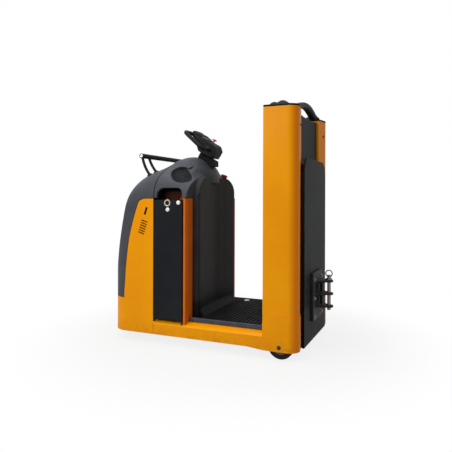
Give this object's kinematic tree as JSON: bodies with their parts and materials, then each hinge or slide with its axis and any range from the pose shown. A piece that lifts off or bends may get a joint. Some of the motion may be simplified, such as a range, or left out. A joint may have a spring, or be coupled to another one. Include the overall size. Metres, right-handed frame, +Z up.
{
  "type": "stand-on electric tow tractor",
  "caption": "Stand-on electric tow tractor with a rounded hood, open rear platform between tall columns, hand-loop steering, battery doors and a pin coupling behind.",
  "frame": {"origin": "on the floor under the middle of the overall box", "axes": "+X forward, +Y to the left, +Z up"},
  "size_m": [1.376, 0.808, 1.517],
  "materials": {
    "yellow_paint": "smooth gloss yellow-orange enamel",
    "hood_plastic": "fine-grained dark grey moulding",
    "black_plastic": "grained black moulding",
    "black_paint": "satin black powder coat",
    "battery_case": "dull dark battery case",
    "zinc_steel": "zinc-plated steel",
    "lock_chrome": "polished ring",
    "white_plastic": "glossy off-white caps",
    "mat_rubber": "ribbed black rubber",
    "trim_rubber": "blue-grey rubber edging",
    "display_plastic": "smooth grey display cover",
    "red_plastic": "glossy red knobs",
    "cushion_cover": "black padded vinyl",
    "wheel_tread": "dark brown moulded tread",
    "cast_metal": "dark painted castings"
  },
  "bodies": {
    "chassis": {"base_frame": "yellow_paint", "front_panels": "yellow_paint", "corner_post_left": "yellow_paint", "corner_post_right": "yellow_paint", "column_left": "yellow_paint", "column_right": "yellow_paint", "foot_left": "yellow_paint", "foot_right": "yellow_paint", "front_hood": "hood_plastic", "top_cowl": "hood_plastic", "console_dome": "hood_plastic", "storage_bowls": "black_plastic", "bulkhead": "black_plastic", "steer_neck": "black_plastic", "stop_base": "black_plastic", "column_caps": "black_plastic", "hand_bar": "black_plastic", "rear_housing": "black_paint", "rear_plate": "black_paint", "coupling": "black_paint", "drive_plate": "black_paint", "grab_rail": "black_paint", "battery": "battery_case", "hinge_pins": "zinc_steel", "load_axles": "zinc_steel", "foot_switch": "zinc_steel", "platform_mat": "mat_rubber", "edge_trims": "trim_rubber", "stop_button": "red_plastic", "back_cushion": "cushion_cover", "drive_motor": "cast_metal"},
    "door_left": {"battery_door_left": "black_paint", "door_lock_left": "lock_chrome", "door_knobs_left": "white_plastic"},
    "door_right": {"battery_door_right": "black_paint", "door_lock_right": "lock_chrome", "door_knobs_right": "white_plastic"},
    "handle": {"steer_head": "black_plastic", "steer_display": "display_plastic", "horn_knob": "red_plastic"},
    "tow_pin": {"tow_pin": "zinc_steel"},
    "load_wheel_left": {"load_wheel_left": "wheel_tread"},
    "load_wheel_right": {"load_wheel_right": "wheel_tread"},
    "drive_leg": {"drive_leg": "cast_metal"},
    "drive_wheel": {"drive_hub": "cast_metal", "drive_tyre": "wheel_tread"}
  },
  "joints": [
    {"name": "door_left_hinge", "type": "hinge", "parent": "chassis", "child": "door_left", "pos_m": [0.164, 0.393, 0.53], "axis": [0, 0, 1], "range_deg": [0, 100]},
    {"name": "door_right_hinge", "type": "hinge", "parent": "chassis", "child": "door_right", "pos_m": [0.164, -0.393, 0.53], "axis": [0, 0, -1], "range_deg": [0, 100]},
    {"name": "steer_turn", "type": "hinge", "parent": "chassis", "child": "handle", "pos_m": [0.174, 0, 1.262], "axis": [-0.4848, 0, 0.8746], "range_deg": [-60, 60]},
    {"name": "pin_lift", "type": "slide", "parent": "chassis", "child": "tow_pin", "axis": [0, 0, 1], "range_m": [0, 0.2]},
    {"name": "load_left_spin", "type": "hinge", "parent": "chassis", "child": "load_wheel_left", "pos_m": [-0.462, 0.344, 0.075], "axis": [0, 1, 0], "continuous": true},
    {"name": "load_right_spin", "type": "hinge", "parent": "chassis", "child": "load_wheel_right", "pos_m": [-0.462, -0.344, 0.075], "axis": [0, 1, 0], "continuous": true},
    {"name": "drive_steer", "type": "hinge", "parent": "chassis", "child": "drive_leg", "pos_m": [0.511, 0, 0.27], "axis": [0, 0, 1], "range_deg": [-90, 90]},
    {"name": "drive_spin", "type": "hinge", "parent": "drive_leg", "child": "drive_wheel", "pos_m": [0.511, 0, 0.115], "axis": [0, 1, 0], "continuous": true}
  ],
  "couplings": [
    {"joint": "steer_turn", "follows": "drive_steer", "ratio": 0.66667}
  ]
}
